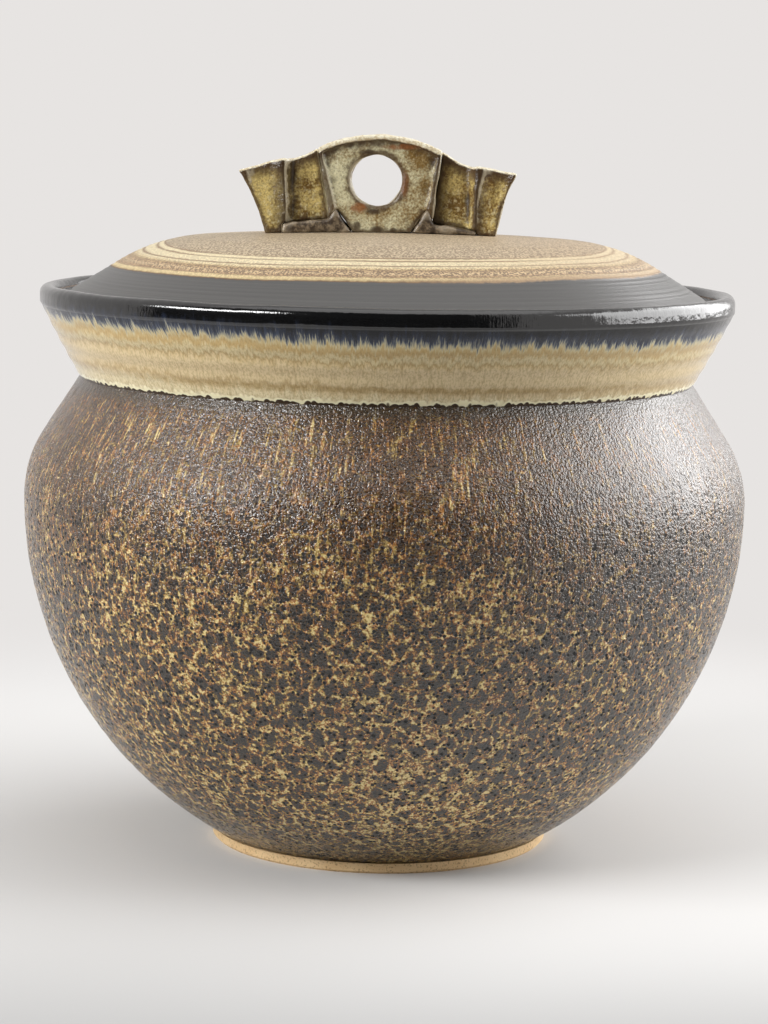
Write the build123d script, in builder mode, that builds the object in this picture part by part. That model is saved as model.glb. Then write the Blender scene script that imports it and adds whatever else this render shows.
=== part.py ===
from build123d import *

import os

# A lidded earthenware pot: a wheel-thrown body with a flared collar, and a loose lid with a
# hand-built handle that is pierced by a finger hole.
# Millimetres, +Z up. The origin is the centre of the foot, on the surface that the pot stands on.
# The broad faces of the handle look along -Y and +Y. Radii are measured from the pot's axis.

# Body
belly_radius = 129.8
belly_height = 124.4
turn_radius = 43.5
turn_angle = 32.8
neck_radius = 110.0
neck_height = 167.9
wall = 7.0
floor_thickness = 9.0
floor_corner_round = 14.0

# Foot
foot_radius = 61.0
foot_width = 9.0
foot_height = 3.7
foot_bevel = 0.8
foot_step = 0.9

# Collar and rim
collar_height = 25.5
collar_flare = 13.6
collar_bow = 0.3
collar_top_wall = 6.6
lip_rise = 6.9
lip_lean = 0.6
lip_radius = 3.0

# Gallery, the ledge inside the collar that carries the lid
seat_drop = 2.4
seat_width = 10.0
gallery_height = 9.5
gallery_nose = 4.5
gallery_round = 1.0

# Lid
seat_gap = 0.2
lid_gap = 3.2
lid_edge_height = 6.0
lid_edge_round = 5.5
lid_foot_round = 1.2
cone_width = 17.0
cone_rise = 10.4
shoulder_width = 30.0
shoulder_rise = 10.2
crown_rise = 2.2
lid_wall = 6.5

# Flange, the ring under the lid that keeps it centred
flange_play = 1.5
flange_wall = 6.0
flange_depth = 9.0
flange_round = 2.0

# Handle: widths and heights from its own centre line and from the crown of the lid
handle_shift = -2.8
handle_thickness = 14.0
arch_height = 34.6
arch_top_left = 23.0
arch_left_height = 29.7
arch_top_right = 21.4
arch_right_height = 29.2
arch_foot_half = 17.3
hole_radius = 9.1
hole_height = 18.5
hole_offset = -1.9
hole_round = 0.8
dish_depth = 1.4
dish_margin = 1.9
left_ridge = 35.2
left_ridge_height = 25.9
right_ridge = 34.2
right_ridge_height = 24.0
ridge_dip = 0.5
ridge_land = 1.6
left_tip_reach = 51.0
left_tip_height = 21.3
right_tip_reach = 48.0
right_tip_height = 21.6
wing_foot = 41.0
wing_end_hollow = 1.2
wing_top_hollow = 0.7
pocket_depth = 4.2
pocket_draft = 3.3
flute_radius = 13.0
flute_depth = 1.7
flute_lean = 11.0
luting_proud = 0.6
luting_inner = 10.5
left_luting_inner = 4.6
left_luting_outer = 3.0
right_luting_inner = 3.2
right_luting_outer = 1.2
haunch_reach = 16.2
haunch_height = 8.4

# Levels and radii that follow from the sizes above
floor_height = foot_height + floor_thickness
collar_top = neck_height + collar_height
collar_top_radius = neck_radius + collar_flare
collar_top_bore = collar_top_radius - collar_top_wall
neck_bore = neck_radius - wall
rim_radius = collar_top_radius + lip_lean
rim_top = collar_top + lip_rise
rim_bore = rim_radius - 2 * lip_radius
seat_height = collar_top - seat_drop


def collar_bore(height):
    """Inner radius of the collar at a height above the ground."""
    return neck_bore + (collar_top_bore - neck_bore) * (height - neck_height) / collar_height


seat_radius = collar_bore(seat_height)
seat_bore = seat_radius - seat_width
lid_base = seat_height + seat_gap
lid_radius = rim_bore - lid_gap
shoulder_radius = lid_radius - cone_width
crown_radius = shoulder_radius - shoulder_width
lid_edge_top = lid_base + lid_edge_height
shoulder_base = lid_edge_top + cone_rise
crown_base = shoulder_base + shoulder_rise
crown_top = crown_base + crown_rise
flange_radius = seat_bore - flange_play
flange_bore = flange_radius - flange_wall
handle_root = -lid_wall / 2
handle_plane = Plane(origin=(handle_shift, 0, crown_top), x_dir=(1, 0, 0), z_dir=(0, -1, 0))
half_thickness = handle_thickness / 2


# The body is thrown in one piece: a thick floor and one wall that swells to the belly, turns in and
# runs straight to the neck. The outer and the inner line of the wall are built the same way.
with BuildPart() as thrown_body:
    with BuildSketch(Plane.XZ) as body_section:
        with BuildLine():
            belly = (belly_radius, belly_height)
            TangentArc(belly, (foot_radius - foot_step, foot_height), tangent=(0, -1))
            turn = JernArc(belly, (0, 1), turn_radius, turn_angle)
            Polyline(turn @ 1, (neck_radius, neck_height), (neck_bore, neck_height))
            inner_belly = (belly_radius - wall, belly_height)
            inner_turn = JernArc(inner_belly, (0, 1), turn_radius - wall, turn_angle)
            Line(inner_turn @ 1, (neck_bore, neck_height))
            TangentArc(inner_belly, (foot_radius, floor_height), tangent=(0, -1))
            Polyline(
                (foot_radius, floor_height),
                (0, floor_height),
                (0, foot_height),
                (foot_radius - foot_step, foot_height),
            )
        make_face()
        inner_corner = body_section.vertices().sort_by_distance((foot_radius, floor_height))[0]
        fillet(inner_corner, radius=floor_corner_round)
    revolve(axis=Axis.Z)

# The foot ring is turned from the base and stays bare clay. The pot stands on its lower face.
with BuildPart() as foot_ring:
    with BuildSketch(Plane.XY):
        Circle(foot_radius)
        Circle(foot_radius - foot_width, mode=Mode.SUBTRACT)
    extrude(amount=foot_height)
    chamfer(foot_ring.edges().group_by(Axis.Z)[0], length=foot_bevel)

# The collar leans out from the neck, with a slight bow outside and a straight bore.
with BuildPart() as collar:
    with BuildSketch(Plane.XZ):
        with BuildLine():
            SagittaArc((neck_radius, neck_height), (collar_top_radius, collar_top), -collar_bow)
            Polyline(
                (collar_top_radius, collar_top),
                (collar_top_bore, collar_top),
                (neck_bore, neck_height),
                (neck_radius, neck_height),
            )
        make_face()
    revolve(axis=Axis.Z)

# The rim is the collar's top edge, rolled to a full round.
with BuildPart() as rolled_rim:
    with BuildSketch(Plane.XZ):
        with BuildLine():
            Line((collar_top_radius, collar_top), (rim_radius, rim_top - lip_radius))
            lip = CenterArc((rim_radius - lip_radius, rim_top - lip_radius), lip_radius, 0, 180)
            Polyline(lip @ 1, (collar_top_bore, collar_top), (collar_top_radius, collar_top))
        make_face()
    revolve(axis=Axis.Z)

# The gallery is a ledge of clay on the collar's bore. Its flat top is the lid's seat.
with BuildPart() as lid_gallery:
    with BuildSketch(Plane.XZ) as gallery_section:
        with BuildLine():
            Polyline(
                (seat_bore, seat_height),
                (seat_radius, seat_height),
                (collar_bore(seat_height - gallery_height), seat_height - gallery_height),
                (seat_bore, seat_height - gallery_nose),
                close=True,
            )
        make_face()
        seat_edge = gallery_section.vertices().sort_by_distance((seat_bore, seat_height))[0]
        fillet(seat_edge, radius=gallery_round)
    revolve(axis=Axis.Z)

# The lid is a shallow dome: an almost flat crown, a rounded shoulder and a conical border that
# ends in a thick, softened edge. The underside is thrown hollow inside the flange.
with BuildPart() as lid_dome:
    with BuildSketch(Plane.XZ) as dome_section:
        with BuildLine():
            crown = TangentArc((0, crown_top), (crown_radius, crown_base), tangent=(1, 0))
            TangentArc(crown @ 1, (shoulder_radius, shoulder_base), tangent=crown % 1)
            Polyline(
                (shoulder_radius, shoulder_base),
                (lid_radius, lid_edge_top),
                (lid_radius, lid_base),
                (flange_bore, lid_base),
                (flange_bore, shoulder_base - lid_wall),
            )
            under = TangentArc(
                (0, crown_top - lid_wall), (crown_radius, crown_base - lid_wall), tangent=(1, 0)
            )
            TangentArc(under @ 1, (flange_bore, shoulder_base - lid_wall), tangent=under % 1)
            Line((0, crown_top - lid_wall), (0, crown_top))
        make_face()
        corners = dome_section.vertices()
        fillet(corners.sort_by_distance((lid_radius, lid_edge_top))[0], radius=lid_edge_round)
        corners = dome_section.vertices()
        fillet(corners.sort_by_distance((lid_radius, lid_base))[0], radius=lid_foot_round)
    revolve(axis=Axis.Z)

# The flange hangs below the lid's seat, inside the gallery, with a little play all round.
with BuildPart() as lid_flange:
    with BuildSketch(Plane.XY.offset(lid_base)):
        Circle(flange_radius)
        Circle(flange_bore, mode=Mode.SUBTRACT)
    extrude(amount=-flange_depth)
    fillet(lid_flange.edges().group_by(Axis.Z)[0], radius=flange_round)

# Luting clay is pressed along the handle's root on both sides of its middle: a low bar under
# each pocket, which rises to a haunch beside the finger hole. It follows the lid's crown.
with BuildPart() as handle_luting:
    with BuildSketch(handle_plane):
        for ridge, outer_height, middle, inner_height in (
            (-left_ridge, left_luting_outer, -arch_foot_half, left_luting_inner),
            (right_ridge, right_luting_outer, arch_foot_half, right_luting_inner),
        ):
            side = ridge / abs(ridge)
            with BuildLine():
                Polyline(
                    (ridge, handle_root),
                    (ridge, outer_height),
                    (middle + side * ridge_land, inner_height),
                    (side * haunch_reach, haunch_height),
                    (side * luting_inner, 0),
                    (side * luting_inner, handle_root),
                    close=True,
                )
            make_face()
    extrude(amount=half_thickness + luting_proud, both=True)
    add(lid_dome.part, mode=Mode.SUBTRACT)

# The arch is the middle of the handle. It is narrower at its foot, dished on both faces, and
# pierced by the finger hole.
with BuildPart() as handle_arch:
    with BuildSketch(handle_plane):
        with BuildLine():
            ThreePointArc(
                (-arch_top_left, arch_left_height),
                (0, arch_height),
                (arch_top_right, arch_right_height),
            )
            Polyline(
                (arch_top_right, arch_right_height),
                (arch_foot_half, handle_root),
                (-arch_foot_half, handle_root),
                (-arch_top_left, arch_left_height),
            )
        make_face()
    extrude(amount=half_thickness, both=True)
    with BuildSketch(handle_plane, mode=Mode.PRIVATE) as dish:
        with BuildLine():
            ThreePointArc(
                (dish_margin - arch_top_left, arch_left_height - dish_margin),
                (0, arch_height - dish_margin),
                (arch_top_right - dish_margin, arch_right_height - dish_margin),
            )
            Polyline(
                (arch_top_right - dish_margin, arch_right_height - dish_margin),
                (haunch_reach, haunch_height),
                (luting_inner, handle_root),
                (-luting_inner, handle_root),
                (-haunch_reach, haunch_height),
                (dish_margin - arch_top_left, arch_left_height - dish_margin),
            )
        make_face()
    for face_plane in (handle_plane.offset(half_thickness), handle_plane.offset(-half_thickness)):
        with BuildSketch(face_plane):
            add(dish.sketch_local)
        extrude(amount=dish_depth, both=True, mode=Mode.SUBTRACT)
    with BuildSketch(handle_plane):
        with Locations((hole_offset, hole_height)):
            Circle(hole_radius)
    extrude(amount=handle_thickness, both=True, mode=Mode.SUBTRACT)
    bore_edges = handle_arch.edges().filter_by(GeomType.CIRCLE)
    chamfer(bore_edges.filter_by(lambda edge: abs(edge.radius - hole_radius) < 0.01), hole_round)
    add(lid_dome.part, mode=Mode.SUBTRACT)
    add(handle_luting.part, mode=Mode.SUBTRACT)


# Each wing is a stepped slab beside the arch: a deep pocket that is open at the top, a ridge, and
# a fluted panel whose end leans outwards. Both faces are carved alike.
wings = {}
for name, side, arch_corner, ridge, ridge_height, tip in (
    (
        "handle_wing_left",
        -1,
        (-arch_top_left, arch_left_height),
        left_ridge,
        left_ridge_height,
        (-left_tip_reach, left_tip_height),
    ),
    (
        "handle_wing_right",
        1,
        (arch_top_right, arch_right_height),
        right_ridge,
        right_ridge_height,
        (right_tip_reach, right_tip_height),
    ),
):
    ridge_foot = (side * (ridge - ridge_land), ridge_height - ridge_dip)
    wing_corner = (side * wing_foot, handle_root)
    pocket_front = handle_shift + side * (ridge - ridge_land / 2)
    pocket_side = handle_shift + side * (ridge - pocket_draft)
    pocket_mouth = handle_shift + side * arch_foot_half / 2
    flute_middle = handle_shift + side * (ridge + wing_foot) / 2
    with BuildPart() as wing:
        with BuildSketch(handle_plane):
            with BuildLine():
                SagittaArc(arch_corner, ridge_foot, -side * wing_top_hollow)
                Polyline(ridge_foot, (side * ridge, ridge_height), tip)
                SagittaArc(tip, wing_corner, -side * wing_end_hollow)
                Polyline(wing_corner, (side * arch_foot_half, handle_root), arch_corner)
            make_face()
        extrude(amount=half_thickness, both=True)
        for face in (-1, 1):
            surface = face * half_thickness
            outside = face * handle_thickness
            pocket_back = face * (half_thickness - pocket_depth)
            with BuildSketch(Plane.XY.offset(crown_top + handle_root)):
                with BuildLine():
                    Polyline(
                        (pocket_mouth, outside),
                        (pocket_front, outside),
                        (pocket_front, surface),
                        (pocket_side, pocket_back),
                        (pocket_mouth, pocket_back),
                        close=True,
                    )
                make_face()
            extrude(amount=2 * arch_height, mode=Mode.SUBTRACT)
            flute_axis = face * (half_thickness - flute_depth + flute_radius)
            with Locations(Location((flute_middle, flute_axis, crown_top), (0, side * flute_lean, 0))):
                Cylinder(flute_radius, 3 * arch_height, mode=Mode.SUBTRACT)
        add(lid_dome.part, mode=Mode.SUBTRACT)
        add(handle_luting.part, mode=Mode.SUBTRACT)
    wings[name] = wing


pieces = {
    "thrown_body": thrown_body,
    "foot_ring": foot_ring,
    "collar": collar,
    "rolled_rim": rolled_rim,
    "lid_gallery": lid_gallery,
    "lid_dome": lid_dome,
    "lid_flange": lid_flange,
    "handle_luting": handle_luting,
    "handle_arch": handle_arch,
    **wings,
}

os.makedirs("parts", exist_ok=True)
for name, piece in pieces.items():
    piece.part.label = name
    export_step(piece.part, f"parts/{name}.step")
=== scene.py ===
import math

import bpy
import numpy as np
from mathutils import Matrix, Vector


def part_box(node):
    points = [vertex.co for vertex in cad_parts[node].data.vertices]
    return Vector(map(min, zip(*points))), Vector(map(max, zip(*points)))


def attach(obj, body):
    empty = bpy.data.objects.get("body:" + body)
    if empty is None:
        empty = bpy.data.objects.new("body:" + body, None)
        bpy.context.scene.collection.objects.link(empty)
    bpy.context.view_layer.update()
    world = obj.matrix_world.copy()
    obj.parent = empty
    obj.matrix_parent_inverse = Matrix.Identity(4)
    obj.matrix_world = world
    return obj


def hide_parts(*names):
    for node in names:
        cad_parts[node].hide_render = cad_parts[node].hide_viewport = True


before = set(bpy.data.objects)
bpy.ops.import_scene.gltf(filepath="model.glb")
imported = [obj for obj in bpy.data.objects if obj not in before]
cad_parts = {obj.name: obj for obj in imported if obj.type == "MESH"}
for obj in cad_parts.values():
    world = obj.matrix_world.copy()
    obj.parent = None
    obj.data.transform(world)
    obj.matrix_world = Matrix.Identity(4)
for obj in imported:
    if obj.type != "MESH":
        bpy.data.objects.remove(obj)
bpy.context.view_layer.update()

# Metres, in the same frame as the solids: +Z up, the foot stands on z = 0, and the handle's broad
# faces look along -Y and +Y. Sizes are written in millimetres and turned into metres by mm.
mm = 0.001


# The belly and shoulder, thrown in one piece of coarse stoneware with a thick floor. Its glaze
# broke on firing into charcoal islands in an ochre net, with runs on the shoulder and pinholes.
belly_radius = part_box("thrown_body")[1].x
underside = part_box("thrown_body")[0].z
neck_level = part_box("thrown_body")[1].z
foot_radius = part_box("foot_ring")[1].x
belly_level = 124.4 * mm
turn_bend = 43.5 * mm
turn_angle = math.radians(32.8)
neck_radius = 110 * mm
wall = 7 * mm
floor_level = underside + 9 * mm
floor_corner = 14 * mm
foot_step = 0.9 * mm
fine_pace = 1.7 * mm
coarse_pace = 5 * mm
wall_steps = 480
foot_fade = 6 * mm
neck_fade = 4 * mm


def arc(centre, bend, start, end, pace):
    """Points (radius, level) on an arc, about one pace apart. Angles are in radians."""
    count = max(2, math.ceil(abs(end - start) * bend / pace))
    turns = [start + (end - start) * i / count for i in range(count + 1)]
    return [(centre[0] + bend * math.cos(t), centre[1] + bend * math.sin(t)) for t in turns]


def straight(start, end, pace):
    """Points on a straight stretch, about one pace apart."""
    count = max(1, math.ceil(math.dist(start, end) / pace))
    shares = [i / count for i in range(count + 1)]
    return [
        (start[0] + (end[0] - start[0]) * share, start[1] + (end[1] - start[1]) * share)
        for share in shares
    ]


def belly_line(radius, foot, pace):
    """The lower wall from the foot up: one arc that stands upright at the belly."""
    run = radius - foot[0]
    drop = belly_level - foot[1]
    bend = (run**2 + drop**2) / (2 * run)
    return arc((radius - bend, belly_level), bend, -math.asin(drop / bend), 0, pace)


def throw(name, outline, steps):
    """A piece of turned clay: its outline is drawn point by point and spun round the axis."""
    path = [outline[0]]
    for point in outline[1:]:
        if math.dist(point, path[-1]) > 0.01 * mm:
            path.append(point)
    bpy.ops.object.select_all(action="DESELECT")
    bpy.ops.mesh.primitive_circle_add(vertices=3, radius=0.01 * mm, location=(0, 0, 0))
    piece = bpy.context.object
    piece.name = name
    bpy.ops.object.mode_set(mode="EDIT")
    bpy.ops.mesh.merge(type="CENTER")
    bpy.ops.transform.translate(value=(path[0][0], 0, path[0][1]))
    for start, end in zip(path, path[1:]):
        shift = (end[0] - start[0], 0, end[1] - start[1])
        bpy.ops.mesh.extrude_region_move(TRANSFORM_OT_translate={"value": shift})
    bpy.ops.object.mode_set(mode="OBJECT")
    spin = piece.modifiers.new("spin", "SCREW")
    spin.axis = "Z"
    spin.steps = steps
    spin.render_steps = steps
    spin.use_merge_vertices = True
    spin.merge_threshold = 0.001 * mm
    bpy.ops.object.modifier_apply(modifier="spin")
    bpy.ops.object.mode_set(mode="EDIT")
    bpy.ops.mesh.select_all(action="SELECT")
    bpy.ops.mesh.remove_doubles(threshold=0.001 * mm)
    bpy.ops.mesh.normals_make_consistent(inside=False)
    bpy.ops.object.mode_set(mode="OBJECT")
    bpy.ops.object.shade_smooth_by_angle(angle=math.radians(35))
    return piece


def roughen(piece, size, depth, weights=None):
    """Real relief: the surface is pushed in and out by up to half the depth, over that size."""
    pattern = bpy.data.textures.new(f"{piece.name}_clouds", "CLOUDS")
    pattern.noise_scale = size
    push = piece.modifiers.new("relief", "DISPLACE")
    push.texture = pattern
    push.texture_coords = "LOCAL"
    push.strength = depth
    push.mid_level = 0.5
    if weights:
        push.vertex_group = weights
    bpy.ops.object.modifier_apply(modifier="relief")


def weigh(piece, name, share):
    """Gives each point a weight from 0 to 1 by a rule of its radius and level."""
    group = piece.vertex_groups.new(name=name)
    for point in piece.data.vertices:
        amount = share(math.hypot(point.co.x, point.co.y), point.co.z, point.normal)
        if amount > 0:
            group.add([point.index], min(1, amount), "REPLACE")


def tone(red, green, blue):
    """A colour given as it is seen, from 0 to 255, for a socket that takes light values."""
    shares = [channel / 255 for channel in (red, green, blue)]
    return (*[s / 12.92 if s < 0.04045 else ((s + 0.055) / 1.055) ** 2.4 for s in shares], 1)


class Recipe:
    """The steps that mix a finish, in the node tree of a material or of a shared effect."""

    def __init__(self, tree):
        self.tree = tree
        self.place = self.add("ShaderNodeTexCoord").outputs["Object"]
        parts = self.add("ShaderNodeSeparateXYZ", {"Vector": self.place})
        self.across, self.deep, self.level = parts.outputs

    def feed(self, socket, value):
        """Links the socket to another one, or sets it to a plain value."""
        if isinstance(value, bpy.types.NodeSocket):
            self.tree.links.new(value, socket)
        else:
            socket.default_value = value

    def add(self, kind, inputs=None, **settings):
        """A new node with its settings made and its inputs fed."""
        node = self.tree.nodes.new(kind)
        for name, value in settings.items():
            setattr(node, name, value)
        for name, value in (inputs or {}).items():
            self.feed(node.inputs[name], value)
        return node

    def sum(self, operation, *values):
        """One step of arithmetic, named as the Math node names it."""
        return self.add("ShaderNodeMath", dict(enumerate(values)), operation=operation).outputs[0]

    def total(self, start, *terms):
        """The start plus each value times its weight."""
        for value, weight in terms:
            start = self.sum("MULTIPLY_ADD", value, weight, start)
        return start

    def sway(self, value, reach, base):
        """The base, moved by a random value round 0.5, by up to half the reach either way."""
        return self.sum("MULTIPLY_ADD", self.sum("SUBTRACT", value, 0.5), reach, base)

    def reach(self, across, deep):
        """The distance from the axis."""
        squares = [self.sum("POWER", side, 2) for side in (across, deep)]
        return self.sum("POWER", self.sum("ADD", *squares), 0.5)

    def shift(self, operation, *values):
        """One step of arithmetic on places, named as the Vector Math node names it."""
        inputs = dict(enumerate(values))
        return self.add("ShaderNodeVectorMath", inputs, operation=operation).outputs[0]

    def noise(self, size, place=None, detail=2.0):
        """Soft random values round 0.5, with features of about that size."""
        inputs = {"Vector": place or self.place, "Scale": 1 / size, "Detail": detail}
        return self.add("ShaderNodeTexNoise", inputs).outputs[0]

    def cells(self, size, feature, place=None):
        """Distance, in shares of a cell, to a cell's middle (F1) or to its DISTANCE_TO_EDGE."""
        inputs = {"Vector": place or self.place, "Scale": 1 / size}
        return self.add("ShaderNodeTexVoronoi", inputs, feature=feature).outputs["Distance"]

    def stretch(self, scale):
        """The place, drawn out or squeezed along each axis."""
        return self.add("ShaderNodeMapping", {"Vector": self.place, "Scale": scale}).outputs[0]

    def jog(self, size, reach, place=None):
        """The place, pushed about at random by up to half the reach."""
        scatter = self.add("ShaderNodeTexNoise", {"Vector": self.place, "Scale": 1 / size})
        centred = self.shift("SUBTRACT", scatter.outputs["Color"], (0.5, 0.5, 0.5))
        return self.shift("MULTIPLY_ADD", centred, (reach, reach, reach), place or self.place)

    def ease(self, value, low, high, start=0.0, end=1.0):
        """Eases from start to end while the value goes from low to high."""
        inputs = {"Value": value, "From Min": low, "From Max": high, "To Min": start, "To Max": end}
        return self.add("ShaderNodeMapRange", inputs, interpolation_type="SMOOTHSTEP").outputs[0]

    def mix(self, share, under, over):
        """Lays the second colour over the first, by that share."""
        inputs = {0: share, 6: under, 7: over}
        return self.add("ShaderNodeMix", inputs, data_type="RGBA").outputs[2]

    def bands(self, value, stops):
        """Colours that follow one another, each at its own value and blended in between."""
        low = stops[0][0]
        high = stops[-1][0]
        share = self.add("ShaderNodeMapRange", {"Value": value, "From Min": low, "From Max": high})
        ramp = self.add("ShaderNodeValToRGB", {0: share.outputs[0]})
        points = ramp.color_ramp.elements
        while len(points) < len(stops):
            points.new(0.5)
        for point, (position, colour) in zip(points, stops):
            point.position = (position - low) / (high - low)
            point.color = colour
        return ramp.outputs[0]


def start_effect(name, inputs, output):
    """A shared effect with named inputs that gives one value, as a node group."""
    group = bpy.data.node_groups.new(name, "ShaderNodeTree")
    for label, amount in inputs.items():
        socket = group.interface.new_socket(label, in_out="INPUT", socket_type="NodeSocketFloat")
        socket.default_value = amount
    group.interface.new_socket(output, in_out="OUTPUT", socket_type="NodeSocketFloat")
    recipe = Recipe(group)
    recipe.given = recipe.add("NodeGroupInput").outputs
    recipe.result = recipe.add("NodeGroupOutput").inputs[output]
    return group, recipe


def start_glaze(name, roughness, refraction=None):
    """A new finish: a plain shader whose colour, gloss and relief are then fed."""
    material = bpy.data.materials.new(name)
    material.use_nodes = True
    recipe = Recipe(material.node_tree)
    recipe.material = material
    recipe.shader = material.node_tree.nodes["Principled BSDF"]
    recipe.shader.inputs["Roughness"].default_value = roughness
    if refraction is not None:
        recipe.shader.inputs["IOR"].default_value = refraction
    return recipe


def finish_glaze(recipe, colour, height=None, relief=0.0, roughness=None):
    """Feeds the shader; the height, from 0 to 1, stands for a relief of that many metres."""
    recipe.feed(recipe.shader.inputs["Base Color"], colour)
    if roughness is not None:
        recipe.feed(recipe.shader.inputs["Roughness"], roughness)
    if height is not None:
        bump = recipe.add("ShaderNodeBump", {"Height": height, "Distance": relief})
        recipe.feed(recipe.shader.inputs["Normal"], bump.outputs[0])
    return recipe.material


def settle(piece, body, slot, *nodes):
    """Hands the piece over: the body it moves with, and the nodes it shows, which are hidden. The
    slot is not used.
    """
    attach(piece, body)
    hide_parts(*nodes)


# Runs: glaze that crept down the wall in fine upright streaks. The streaks follow the wall's
# lines from the axis outwards, so they stay upright on a slope as well. Their width is true at
# wall_reach from the axis.
wall_reach = 120 * mm
glaze_runs, runs = start_effect("glaze_runs", {"Width": 1 * mm, "Length": 10 * mm}, "Run")
flat_place = runs.add("ShaderNodeCombineXYZ", {0: runs.across, 1: runs.deep}).outputs[0]
outward = runs.shift("NORMALIZE", flat_place)
round_scale = runs.sum("DIVIDE", wall_reach, runs.given["Width"])
around = runs.add("ShaderNodeVectorMath", {0: outward, "Scale": round_scale}, operation="SCALE")
along = runs.sum("DIVIDE", runs.level, runs.given["Length"])
upright = runs.add("ShaderNodeCombineXYZ", {2: along}).outputs[0]
streak_place = runs.shift("ADD", around.outputs[0], upright)
runs.feed(runs.result, runs.noise(1.0, streak_place))


# Pinholes: small round pits where gas came through the glaze. The floor of a pit takes up the
# share pit_floor of its radius, and the rest is its slope.
pit_floor = 0.72
pin_holes, holes = start_effect("pin_holes", {"Spacing": 2.2 * mm, "Radius": 0.7 * mm}, "Hole")
hole_scale = holes.sum("DIVIDE", 1, holes.given["Spacing"])
hole_cells = holes.add("ShaderNodeTexVoronoi", {"Vector": holes.place, "Scale": hole_scale})
hole_edge = holes.sum("DIVIDE", holes.given["Radius"], holes.given["Spacing"])
hole_floor = holes.sum("MULTIPLY", hole_edge, pit_floor)
hole = holes.ease(hole_cells.outputs["Distance"], hole_edge, hole_floor)
holes.feed(holes.result, hole)


# Specks: iron in the clay that burned through as fine dark spots with a soft edge.
speck_edge = 0.08
iron_specks, specks = start_effect("iron_specks", {"Size": 0.8 * mm, "Cover": 0.4}, "Speck")
speck_scale = specks.sum("DIVIDE", 1, specks.given["Size"])
speck_inputs = {"Vector": specks.place, "Scale": speck_scale, "Detail": 3.0}
speck_noise = specks.add("ShaderNodeTexNoise", speck_inputs).outputs[0]
speck_top = specks.sum("ADD", specks.given["Cover"], speck_edge)
specks.feed(specks.result, specks.ease(speck_noise, speck_top, specks.given["Cover"]))


def effect(recipe, group, **inputs):
    """Places a shared effect in a finish, with the finish's own values."""
    node = recipe.add("ShaderNodeGroup", node_tree=group)
    for name, value in inputs.items():
        recipe.feed(node.inputs[name], value)
    return node.outputs[0]


turn_centre = (belly_radius - turn_bend, belly_level)
outer_turn = arc(turn_centre, turn_bend, 0, turn_angle, fine_pace)
inner_turn = arc(turn_centre, turn_bend - wall, turn_angle, 0, coarse_pace)
inner_run = belly_radius - wall - foot_radius
inner_drop = belly_level - floor_level
inner_bend = (inner_run**2 + inner_drop**2) / (2 * inner_run)
corner_level = floor_level + floor_corner
corner_run = math.sqrt((inner_bend - floor_corner) ** 2 - (belly_level - corner_level) ** 2)
inner_centre = (belly_radius - wall - inner_bend, belly_level)
corner_centre = (inner_centre[0] + corner_run, corner_level)
corner_angle = math.atan2(corner_level - belly_level, corner_run)
body_outline = [
    (0, underside),
    *straight((coarse_pace, underside), (foot_radius - foot_step, underside), coarse_pace),
    *belly_line(belly_radius, (foot_radius - foot_step, underside), fine_pace),
    *outer_turn,
    *straight(outer_turn[-1], (neck_radius, neck_level), fine_pace),
    *straight((neck_radius - wall, neck_level), inner_turn[0], coarse_pace),
    *inner_turn,
    *arc(inner_centre, inner_bend, 0, corner_angle, coarse_pace),
    *arc(corner_centre, floor_corner, corner_angle, -math.pi / 2, 2 * mm),
    *straight((corner_centre[0], floor_level), (coarse_pace, floor_level), coarse_pace),
    (0, floor_level),
]
body_wall = throw("body_wall", body_outline, wall_steps)


def outer_wall(radius, level, normal):
    """The weight of the wall's outside, which fades out at the foot and at the neck."""
    if normal.x**2 + normal.y**2 < 0.1 or radius < foot_radius - foot_step:
        return 0
    return min((level - underside) / foot_fade, (neck_level - level) / neck_fade)


def faces_axis(face):
    """True for a face that looks towards the pot's axis, as the inside of a wall does."""
    return face.center.x * face.normal.x + face.center.y * face.normal.y < 0


def inside_body(face):
    """True for the inside of the wall and for the upper face of the floor."""
    return faces_axis(face) or (face.normal.z > 0.5 and face.center.z < belly_level / 2)


weigh(body_wall, "outside", outer_wall)
inside_faces = [face for face in body_wall.data.polygons if inside_body(face)]
inside_points = {index for face in inside_faces for index in face.vertices}
body_wall.vertex_groups["outside"].remove(list(inside_points))
roughen(body_wall, 30 * mm, 0.5 * mm, "outside")
roughen(body_wall, 3.4 * mm, 0.32 * mm, "outside")

body_roughness = 0.13
pit_roughness = 0.93
body_glaze = start_glaze("broken_body_glaze", body_roughness, 1.74)
height_above = body_glaze.level
patches = body_glaze.noise(32 * mm)
clumps = body_glaze.noise(3.6 * mm, detail=1.0)
grain = body_glaze.noise(1.4 * mm)
grit = body_glaze.noise(0.66 * mm, detail=1.0)
gritty = body_glaze.sum("SUBTRACT", grit, 0.5)
dust = body_glaze.noise(0.8 * mm, body_glaze.jog(9 * mm, 9 * mm), detail=1.0)
hue = body_glaze.noise(2.4 * mm, body_glaze.jog(20 * mm, 30 * mm), detail=1.0)

net_place = body_glaze.jog(3.2 * mm, 4.2 * mm, body_glaze.stretch((1, 1, 0.75)))
islands = body_glaze.cells(4.4 * mm, "DISTANCE_TO_EDGE", net_place)
net_rise = body_glaze.ease(height_above, 90 * mm, 20 * mm, 0.0, 0.12)
net_fade = body_glaze.ease(height_above, 95 * mm, 168 * mm, 0.0, 0.5)
net_terms = [(islands, -2.7), (clumps, 1.1), (grain, 1.8), (patches, 0.4), (gritty, 1.2)]
net_field = body_glaze.total(-1.26, *net_terms, (net_rise, 1), (net_fade, -1))

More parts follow.
